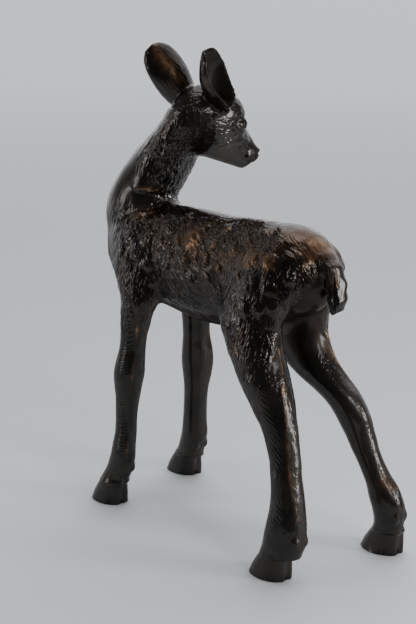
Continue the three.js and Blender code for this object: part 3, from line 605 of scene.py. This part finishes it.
def strokes(count, length, width, height, jitter, where, seed):
    """short raised locks laid along the coat's direction, overlapping; returns their height"""
    r = np.random.RandomState(seed)
    pick = r.permutation(len(V))[:count * 3]
    pick = pick[r.rand(len(pick)) < where[pick]][:count]
    out = np.zeros(len(V))
    cand, own = [], []
    for s, i in enumerate(pick):
        h = [e[1] for e in tree.find_range(V[i], length * .62)]
        cand.extend(h)
        own.extend([s] * len(h))
    cand, own = np.array(cand), np.array(own)
    L = length * r.uniform(.7, 1.15, len(pick))
    wd = width * r.uniform(.75, 1.25, len(pick))
    ht = height * r.uniform(.5, 1.0, len(pick))
    an = r.normal(0, jitter, len(pick))
    F_ = FLOW[pick] * np.cos(an)[:, None] + ACROSS[pick] * np.sin(an)[:, None]
    G_ = ACROSS[pick] * np.cos(an)[:, None] - FLOW[pick] * np.sin(an)[:, None]
    w = V[cand] - V[pick][own]
    a, b = (w * F_[own]).sum(1) / L[own] + .5, (w * G_[own]).sum(1)
    b = b + (a - .5) ** 2 * L[own] * .35 * np.sign(an[own])
    taper = np.clip(1.15 - .75 * np.clip(a, 0, 1), .2, 1)
    prof = np.clip(1 - (b / (wd[own] * taper)) ** 2, 0, 1) * step(0, .55, a) * step(1.02, .82, a)
    np.maximum.at(out, cand, prof * ht[own])
    return out


coat = fur * (1 - is_ear) * (1 - .4 * is_head)
low = 1 - .5 * is_leg * step(250, 190, z)
big = strokes(2600, 22.0, 4.8, .95, .50, np.clip(coat * low * (1 - step(400, 430, z)) * (1 - W[9]), 0, 1), 3)
small = strokes(6000, 12.0, 1.8, .35, .28, np.clip(coat, 0, 1), 5)
heads = strokes(2600, 9.5, 1.5, .55, .25, np.clip(fur * step(395, 425, z) * (1 - is_ear), 0, 1), 9)
lumps = big * fur * low * (1 - is_head) + small * fur * low * (1 - .6 * is_head) + 1.4 * heads * fur * is_head
lumps *= 1 - .85 * W[9]
gleam = np.clip(blob((105, 4, 395), (34, 30, 50)) * 2.0 + blob((60, -42, 436), (20, 22, 14)) + .8 * blob((120, 47, 322), (24, 20, 30)) + .8 * blob((66, 45, 300), (30, 18, 24))
                + .7 * blob((-72, 62, 272), (26, 20, 36)), 0, 1) * fur * (1 - is_ear)
sharp = strokes(1500, 17.0, 4.0, 1.5, .6, gleam, 21)
lumps += sharp * gleam * (1 - .65 * is_head)
nape = np.clip(blob((105, 4, 395), (32, 28, 48)) * 2.0, 0, 1) * fur * (1 - is_head)
lumps += strokes(520, 14.0, 4.0, 1.4, 1.2, nape, 31) * nape
relief = relief + lumps + .9 * fur * (1 - is_ear) * (1 - shank) * (1 - is_head) * (1 - W[9])
for pts in CRESTS.values():
    d_ = None
    for A, B in zip(pts[:-1], pts[1:]):
        e = rod(V, A, B, 0, 0)
        d_ = e if d_ is None else np.minimum(d_, e)
    relief += 1.1 * np.exp(-(d_ / 3.4) ** 2) * step(52, 70, z)
# shallow upright folds on the left of the tail, its right face is bare
relief += W[9] * .45 * np.cos(y * 1.25 + .03 * (z - 300)) * step(345, 325, z) * step(-2, 5, y)

relief += 2.4 * blob((110, -13, 507), (4.2, 4.2, 4.2)) * is_ear          # small knob at the root of the far ear

# the crease where the neck is folded back over the withers
def crease(pts, width, depth):
    d = None
    for A, B in zip(pts[:-1], pts[1:]):
        e = rod(V, A, B, 0, 0)
        d = e if d is None else np.minimum(d, e)
    return depth * np.exp(-(d / width) ** 2)


relief -= crease([(140, 38, 372), (128, 24, 371), (116, 4, 371), (114, -18, 374)], 3.6, 1.8)
relief += crease([(138, 35, 380), (127, 24, 379), (116, 6, 379)], 4.0, 1.5)
relief -= 2.2 * blob((150, 40, 388), (18, 16, 22))
Vd = V + N * relief[:, None]
Vd[:, 2] = np.maximum(Vd[:, 2], 0)
Vd[z < .5, 2] = 0

# ---------------------------------------------------------------- wear, painted sheen and cavities
order = np.concatenate([Q[:, [0, 1]], Q[:, [1, 2]], Q[:, [2, 3]], Q[:, [3, 0]]])


def smooth(a, n):
    for _ in range(n):
        s = np.zeros(len(a))
        c = np.zeros(len(a))
        np.add.at(s, order[:, 0], a[order[:, 1]])
        np.add.at(s, order[:, 1], a[order[:, 0]])
        np.add.at(c, order[:, 0], 1)
        np.add.at(c, order[:, 1], 1)
        a = s / np.maximum(c, 1)
    return a


soft = smooth(relief, 6)
proud = np.clip((relief - soft) / .7, -1, 1)
crest = np.zeros(len(V))
for pts in CRESTS.values():
    for A, B in zip(pts[:-1], pts[1:]):
        crest = np.maximum(crest, np.exp(-(rod(V, A, B, 0, 0) / 2.6) ** 2))
ear_band, ear_rim_painted_highlight = np.zeros(len(V)), np.zeros(len(V))
for k in "AB":
    B, M, length = EARS[k][:3]
    q = (V - B) @ M.T
    u_ = q[:, 1] / (EARS[k][3] * np.interp(np.clip(q[:, 0] / length, 0, 1), ET, EWF) * np.where(q[:, 1] > 0, np.interp(np.clip(q[:, 0] / length, 0, 1), (0, .25, .5, .75, 1), EARS[k][5]), 1))
    m_ = is_ear * (W[7] if k == "A" else W[8])
    ear_band += m_ * np.exp(-((u_ - .1) / .42) ** 2) * step(.4, -.2, hollow) * (k == "A")
    # ear B's rim: a painted highlight line, tinted copper
    ear_rim_painted_highlight += m_ * np.exp(-((np.abs(u_) - 1.0) / .06) ** 2) * step(12, 20, q[:, 0]) * (k == "B")
# copper colour: real wear on raised spots, crests, the ears and the legs, plus painted light: painted sheen on the
# croup pair and on upward faces along the back, and a painted highlight on the fold at the withers and on ear B's rim
copper_wear_and_sheen = (.55 * blob((-126, 12, 340), (17, 16, 16)) + .55 * blob((-126, -12, 340), (17, 16, 16)) + .40 * blob((33, 36, 332), (17, 16, 17)) + .30 * blob((-66, 44, 328), (20, 20, 16))
          + .34 * blob((-98, 46, 322), (16, 20, 16)) + .50 * blob((126, 24, 380), (14, 14, 6)) + .35 * blob((-104, -46, 215), (14, 14, 20)) + .18 * blob((-80, 66, 240), (24, 20, 30))
          + .40 * blob((-180, -54, 84), (14, 14, 18)) + .22 * blob((112, -46, 170), (20, 20, 50)) + .20 * blob((-10, 44, 320), (40, 20, 20))
          + .28 * blob((-150, 6, 312), (12, 12, 16)) + .28 * blob((130, 30, 350), (20, 20, 16)) + .10 * step(.1, .9, N[:, 2]) * step(300, 340, z) * step(380, 360, z)
          + .12 * is_ear * step(.4, -.2, hollow) + .75 * ear_band + .22 * ear_rim_painted_highlight + .9 * blob((110, -13, 502), (6, 6, 3.5)) * is_ear + .40 * crest)
copper_wear_and_sheen = copper_wear_and_sheen + .12 * rims * fur
wear_and_sheen = np.clip(copper_wear_and_sheen * (.75 + .45 * np.clip(proud, -.8, 1)) + .05 * np.clip(proud, 0, 1) * fur, 0, 1)
cavity = np.clip(-proud, 0, 1)

# rows of slanting ticks: down the outer face of the hind and fore legs
tick = np.zeros(len(V))
for pts, r_ in (([(-108, 72, 215), (-124, 70, 186), (-130, 71, 171), (-134, 71, 151), (-138, 74, 120), (-143, 78, 89), (-144, 81, 66)], 9),
                ([(117, 62, 262), (115, 63, 242), (116, 62, 224), (119, 64, 200), (121, 70, 170), (125, 70, 144), (126, 69, 107), (126, 73, 66)], 8),
                ([(-96, -74, 215), (-112, -74, 186), (-130, -74, 160), (-144, -74, 130), (-158, -76, 100), (-172, -80, 66)], 9),
                ([(112, -62, 262), (108, -62, 224), (110, -68, 180), (118, -72, 140), (126, -74, 100), (132, -76, 66)], 8)):
    for A, B in zip(pts[:-1], pts[1:]):
        tick = np.maximum(tick, np.exp(-(rod(V, A, B, 0, 0) / r_) ** 4))
tick *= is_leg

# ---------------------------------------------------------------- mesh
me = bpy.data.meshes.new("fawn_cast")
P = (Vd - ORIGIN) * .001
me.vertices.add(len(P))
me.vertices.foreach_set("co", P.astype(np.float32).ravel())
me.loops.add(len(Q) * 4)
me.loops.foreach_set("vertex_index", Q.astype(np.int32).ravel())
me.polygons.add(len(Q))
me.polygons.foreach_set("loop_start", np.arange(0, len(Q) * 4, 4, dtype=np.int32))
me.update(calc_edges=True)
me.validate()


def attribute(name, values, kind="FLOAT"):
    a = me.attributes.new(name, kind, "POINT")
    a.data.foreach_set("value" if kind == "FLOAT" else "vector", np.ascontiguousarray(values, np.float32).ravel())


attribute("dull", np.clip(belly + .6 * hollow + .16 * step(.1, -.5, N[:, 2]) * is_head + .30 * muzzle + .5 * behind * (1 - W[9]), 0, 1))
attribute("satin", np.clip(is_leg * step(225, 180, z) + .4 * is_head + .5 * behind, 0, 1))
attribute("gleam", np.clip(gleam, 0, 1))
attribute("tick_hind", np.clip(tick * (x < 0), 0, 1))
attribute("tick_fore", np.clip(tick * (x > 0), 0, 1))
attribute("coat", np.clip(fur * (1 - is_ear * .3), 0, 1))
# copper wear together with painted copper sheen and highlights
attribute("wear_and_sheen", wear_and_sheen)
attribute("warm", np.clip(W[0] * step(262, 335, z) + .5 * W[1] * step(.3, -.3, (x - 128) / 40) * step(.2, .8, N[:, 1]) + .35 * is_leg * step(205, 250, z), 0, 1))
attribute("cavity", cavity)
attribute("on_body", np.clip(W[0], 0, 1))
attribute("on_neck", np.clip(W[1], 0, 1))
attribute("on_leg", np.clip(is_leg + W[9] * step(-2, 5, y), 0, 1))
attribute("on_head", np.clip(is_head, 0, 1))
attribute("on_ear", np.clip(is_ear, 0, 1))
piece = bpy.data.objects.new("fawn_cast", me)
bpy.context.scene.collection.objects.link(piece)
me.polygons.foreach_set("use_smooth", np.ones(len(me.polygons), bool))

tris = 2 * len(Q)
if tris > 196000:
    mod = piece.modifiers.new("reduce", "DECIMATE")
    mod.ratio = 195000 / tris
    dg = bpy.context.evaluated_depsgraph_get()
    slim = bpy.data.meshes.new_from_object(piece.evaluated_get(dg))
    piece.modifiers.clear()
    piece.data = slim
    slim.name = "fawn_cast"
    slim.polygons.foreach_set("use_smooth", np.ones(len(slim.polygons), bool))
    me = slim
print("piece", len(me.vertices), "points", sum(len(p.vertices) - 2 for p in me.polygons), "triangles")

# ---------------------------------------------------------------- bronze
mat = bpy.data.materials.new("patinated_bronze")
mat.use_nodes = True
nt = mat.node_tree
nt.nodes.clear()


def node(kind, **set_):
    n = nt.nodes.new(kind)
    for k, v in set_.items():
        setattr(n, k, v)
    return n


def link(a, b):
    nt.links.new(a, b)


def attr(name):
    return node("ShaderNodeAttribute", attribute_name=name, attribute_type="GEOMETRY").outputs["Fac"]


def math_(op, a, b=None, c=None, clamp=False):
    n = node("ShaderNodeMath", operation=op, use_clamp=clamp)
    for s, v in zip(n.inputs, (a, b, c)):
        if v is None:
            continue
        if isinstance(v, (int, float)):
            s.default_value = v
        else:
            link(v, s)
    return n.outputs[0]


def remap(v, a, b, c, d):
    n = node("ShaderNodeMapRange", interpolation_type="SMOOTHSTEP")
    link(v, n.inputs["Value"])
    for k, q in zip(("From Min", "From Max", "To Min", "To Max"), (a, b, c, d)):
        n.inputs[k].default_value = q
    return n.outputs["Result"]


def noise(vec, scale, detail=2.0, rough=.5, distort=0.0):
    n = node("ShaderNodeTexNoise")
    link(vec, n.inputs["Vector"])
    n.inputs["Scale"].default_value = scale
    n.inputs["Detail"].default_value = detail
    n.inputs["Roughness"].default_value = rough
    n.inputs["Distortion"].default_value = distort
    return n


tc = node("ShaderNodeTexCoord").outputs["Object"]
warp = noise(tc, 38.0, 2.0)
w1 = node("ShaderNodeVectorMath", operation="SUBTRACT")
link(warp.outputs["Color"], w1.inputs[0])
w1.inputs[1].default_value = (.5, .5, .5)
w2 = node("ShaderNodeVectorMath", operation="SCALE")
link(w1.outputs[0], w2.inputs[0])
w2.inputs["Scale"].default_value = .016
w3 = node("ShaderNodeVectorMath", operation="ADD")
link(tc, w3.inputs[0])
link(w2.outputs[0], w3.inputs[1])
bent = w3.outputs[0]


def hair(direction, across, along, name):
    """noise drawn out along one direction: fine parallel locks"""
    d = Vector(direction).normalized()
    m = node("ShaderNodeMapping", vector_type="TEXTURE")
    link(bent, m.inputs["Vector"])
    m.inputs["Rotation"].default_value = Vector((1, 0, 0)).rotation_difference(d).to_euler()
    m.inputs["Scale"].default_value = (1 / along, 1 / across, 1 / across)
    n = noise(m.outputs[0], 1.0, 1.3, .5)
    return math_("MULTIPLY", remap(n.outputs["Fac"], .30, .66, 0, 1), attr(name))


def ticks(direction, pitch, name):
    """parallel cut strokes, broken up by the warp"""
    d = Vector(direction).normalized()
    rot = d.rotation_difference(Vector((1, 0, 0))).to_euler()
    m = node("ShaderNodeMapping", vector_type="POINT")
    link(bent, m.inputs["Vector"])
    m.inputs["Rotation"].default_value = rot
    wv = node("ShaderNodeTexWave", wave_type="BANDS", bands_direction="X", wave_profile="SIN")
    link(m.outputs[0], wv.inputs["Vector"])
    wv.inputs["Scale"].default_value = 2 * math.pi / (20 * pitch)
    wv.inputs["Distortion"].default_value = .6
    wv.inputs["Detail"].default_value = 1.0
    wv.inputs["Detail Scale"].default_value = 1.0
    return math_("MULTIPLY", wv.outputs["Fac"], attr(name))


locks = hair((-1, 0, -1.0), 330, 62, "on_body")
locks = math_("ADD", locks, math_("MULTIPLY", hair((.35, .12, -.93), 300, 50, "on_neck"), 1.5))
locks = math_("ADD", locks, hair((.25, 0, -1), 290, 46, "on_leg"))
locks = math_("ADD", locks, math_("MULTIPLY", hair(tuple(AXES[0]), 330, 75, "on_head"), .40))
locks = math_("ADD", locks, math_("MULTIPLY", hair(tuple(EARS["A"][1][0]), 300, 18, "on_ear"), .60))
locks = math_("MULTIPLY", locks, attr("coat"))
cuts = math_("ADD", ticks((-.55, .2, .8), .0036, "tick_hind"), ticks((-.50, .1, -.85), .0034, "tick_fore"))
grain = noise(tc, 620.0, 2.0, .5)
cloud = noise(tc, 26.0, 3.0, .55)
stain = noise(tc, 90.0, 3.0, .6)
tone = noise(tc, 14.0, 2.0, .5)

# colour: near-black brown patina, warmer where it is thin, copper where the metal is worn through and copper where
# sheen and highlights are painted
# worn copper plus painted copper sheen, broken up by the locks and stains
wear_and_sheen_v = math_("ADD", attr("wear_and_sheen"), math_("MULTIPLY", math_("SUBTRACT", locks, .35), math_("MULTIPLY", attr("wear_and_sheen"), .7)))
wear_and_sheen_v = math_("MULTIPLY", wear_and_sheen_v, remap(stain.outputs["Fac"], .30, .72, .55, 1.25), clamp=True)
base = node("ShaderNodeValToRGB")
base.color_ramp.elements[0].position = .28
base.color_ramp.elements[0].color = (.0095, .0088, .0080, 1)
base.color_ramp.elements[1].position = .74
base.color_ramp.elements[1].color = (.042, .0370, .0320, 1)
link(math_("ADD", math_("MULTIPLY", cloud.outputs["Fac"], .5), math_("MULTIPLY", tone.outputs["Fac"], .5)), base.inputs["Fac"])
brown = node("ShaderNodeMix", data_type="RGBA")
link(math_("MULTIPLY", attr("warm"), remap(cloud.outputs["Fac"], .3, .7, .35, 1.0)), brown.inputs["Factor"])
link(base.outputs["Color"], brown.inputs["A"])
brown.inputs["B"].default_value = (.040, .0215, .0105, 1)
# copper mix: worn metal and painted copper sheen and highlights
worn_and_sheen = node("ShaderNodeMix", data_type="RGBA")
link(remap(wear_and_sheen_v, .04, .85, 0, 1), worn_and_sheen.inputs["Factor"])
link(brown.outputs["Result"], worn_and_sheen.inputs["A"])
worn_and_sheen.inputs["B"].default_value = (.27, .145, .075, 1)
dark = node("ShaderNodeMix", data_type="RGBA")
link(math_("MULTIPLY", attr("cavity"), .55), dark.inputs["Factor"])
link(worn_and_sheen.outputs["Result"], dark.inputs["A"])
dark.inputs["B"].default_value = (.005, .0048, .0045, 1)

bsdf = node("ShaderNodeBsdfPrincipled")
link(dark.outputs["Result"], bsdf.inputs["Base Color"])
bsdf.inputs["Metallic"].default_value = .85
bsdf.inputs["Specular Tint"].default_value = (.40, .37, .35, 1)
rough = math_("ADD", remap(cloud.outputs["Fac"], .3, .7, .22, .34), math_("MULTIPLY", attr("cavity"), .15))
rough = math_("ADD", rough, math_("MULTIPLY", math_("SUBTRACT", grain.outputs["Fac"], .5), .12))
rough = math_("ADD", rough, math_("MULTIPLY", attr("dull"), .22))
rough = math_("ADD", rough, math_("MULTIPLY", wear_and_sheen_v, .16))
rough = math_("ADD", rough, math_("MULTIPLY", attr("satin"), .12))
rough = math_("SUBTRACT", rough, math_("MULTIPLY", attr("gleam"), .12))
link(rough, bsdf.inputs["Roughness"])
link(math_("SUBTRACT", math_("ADD", remap(stain.outputs["Fac"], .3, .7, .42, .62), math_("MULTIPLY", attr("gleam"), .35)), math_("ADD", math_("MULTIPLY", attr("dull"), .5), math_("MULTIPLY", wear_and_sheen_v, .45)), clamp=True), bsdf.inputs["Coat Weight"])
bsdf.inputs["Coat Roughness"].default_value = .11
bsdf.inputs["Coat IOR"].default_value = 1.42

h = math_("ADD", locks, math_("MULTIPLY", cuts, .35))
h = math_("ADD", h, math_("MULTIPLY", stain.outputs["Fac"], .22))
h = math_("ADD", h, math_("MULTIPLY", grain.outputs["Fac"], .05))
bump = node("ShaderNodeBump")
bump.inputs["Strength"].default_value = 1.0
bump.inputs["Distance"].default_value = .00062
link(h, bump.inputs["Height"])
link(bump.outputs["Normal"], bsdf.inputs["Normal"])
link(bump.outputs["Normal"], bsdf.inputs["Coat Normal"])
outn = node("ShaderNodeOutputMaterial")
link(bsdf.outputs[0], outn.inputs["Surface"])
me.materials.clear()
me.materials.append(mat)

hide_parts("fawn")
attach(piece, "root")

# ---------------------------------------------------------------- floor, light
fm = bpy.data.materials.new("pale_floor")
fm.use_nodes = True
ft = fm.node_tree
fb = ft.nodes["Principled BSDF"]
fn = ft.nodes.new("ShaderNodeTexNoise")
fn.inputs["Scale"].default_value = 3.0
fr = ft.nodes.new("ShaderNodeValToRGB")
fr.color_ramp.elements[0].color = (.56, .57, .585, 1)
fr.color_ramp.elements[1].color = (.62, .63, .645, 1)
ft.links.new(fn.outputs["Fac"], fr.inputs["Fac"])
# painted light: the floor's colour fades towards near-white with distance ahead of the camera
f_co = ft.nodes.new("ShaderNodeTexCoord")
f_dot = ft.nodes.new("ShaderNodeVectorMath")
f_dot.operation = "DOT_PRODUCT"
f_dot.inputs[1].default_value = (.74339, -.66887, 0)
floor_painted_far_light = ft.nodes.new("ShaderNodeMapRange")
floor_painted_far_light.inputs["From Min"].default_value, floor_painted_far_light.inputs["From Max"].default_value = .3, 7.0
floor_painted_light_mix = ft.nodes.new("ShaderNodeMix")
floor_painted_light_mix.data_type = "RGBA"
floor_painted_light_mix.inputs["B"].default_value = (.96, .965, .98, 1)
ft.links.new(f_co.outputs["Object"], f_dot.inputs[0])
ft.links.new(f_dot.outputs["Value"], floor_painted_far_light.inputs["Value"])
ft.links.new(floor_painted_far_light.outputs["Result"], floor_painted_light_mix.inputs["Factor"])
ft.links.new(fr.outputs["Color"], floor_painted_light_mix.inputs["A"])
ft.links.new(floor_painted_light_mix.outputs["Result"], fb.inputs["Base Color"])
fb.inputs["Roughness"].default_value = .75
gm = bpy.data.meshes.new("floor")
RIGHT = Vector((-.66887, -.74339, 0))
AHEAD = Vector((.74339, -.66887, 0))
gm.from_pydata([tuple(AHEAD * a + RIGHT * r) for a, r in ((-.55, -.75), (-.55, .75), (300, 107), (300, -107))], [], [(0, 1, 2, 3)])
gm.materials.append(fm)
floor = bpy.data.objects.new("floor", gm)
floor.location = (0, 0, -.0004)
bpy.context.scene.collection.objects.link(floor)

def softbox(name, place, size, watts, aim=Vector((0, 0, .28)), colour=(1, 1, 1)):
    ld = bpy.data.lights.new(name, "AREA")
    ld.shape, ld.size, ld.size_y, ld.energy, ld.color = "RECTANGLE", size[0], size[1], watts, colour
    lo_ = bpy.data.objects.new(name, ld)
    lo_.location = place
    lo_.rotation_euler = (aim - place).to_track_quat("-Z", "Y").to_euler()
    lo_.visible_camera = False
    bpy.context.scene.collection.objects.link(lo_)


softbox("window_right", RIGHT * 1.30 - AHEAD * .58 + Vector((0, 0, .46)), (.42, .58), 14)
softbox("window_left", RIGHT * -1.30 - AHEAD * .12 + Vector((0, 0, .52)), (.26, .8), 3.4)
softbox("window_behind", AHEAD * -1.25 + RIGHT * .80 + Vector((0, 0, .95)), (.28, .5), 5.5)
softbox("ceiling", Vector((0, 0, 1.9)) + AHEAD * .1, (.8, .8), 6)
sd = bpy.data.lights.new("daylight", "SUN")
sd.energy, sd.angle = 1.35, 70 * RAD
sun = bpy.data.objects.new("daylight", sd)
sun.rotation_euler = (-(RIGHT * .35 + AHEAD * .55 + Vector((0, 0, 1.0)))).to_track_quat("-Z", "Y").to_euler()
bpy.context.scene.collection.objects.link(sun)
world = bpy.data.worlds.new("studio")
world.use_nodes = True
wt = world.node_tree
bg = wt.nodes["Background"]
bg.inputs["Color"].default_value = (.86, .89, .94, 1)
wc = wt.nodes.new("ShaderNodeTexCoord")
wd_ = wt.nodes.new("ShaderNodeVectorMath")
wd_.operation = "DOT_PRODUCT"
wd_.inputs[1].default_value = AHEAD
wr = wt.nodes.new("ShaderNodeMapRange")
wr.inputs["From Min"].default_value, wr.inputs["From Max"].default_value = .20, 1.0
wr.inputs["To Min"].default_value, wr.inputs["To Max"].default_value = .12, 2.4
wt.links.new(wc.outputs["Generated"], wd_.inputs[0])
wt.links.new(wd_.outputs["Value"], wr.inputs["Value"])
wt.links.new(wr.outputs["Result"], bg.inputs["Strength"])
bpy.context.scene.world = world
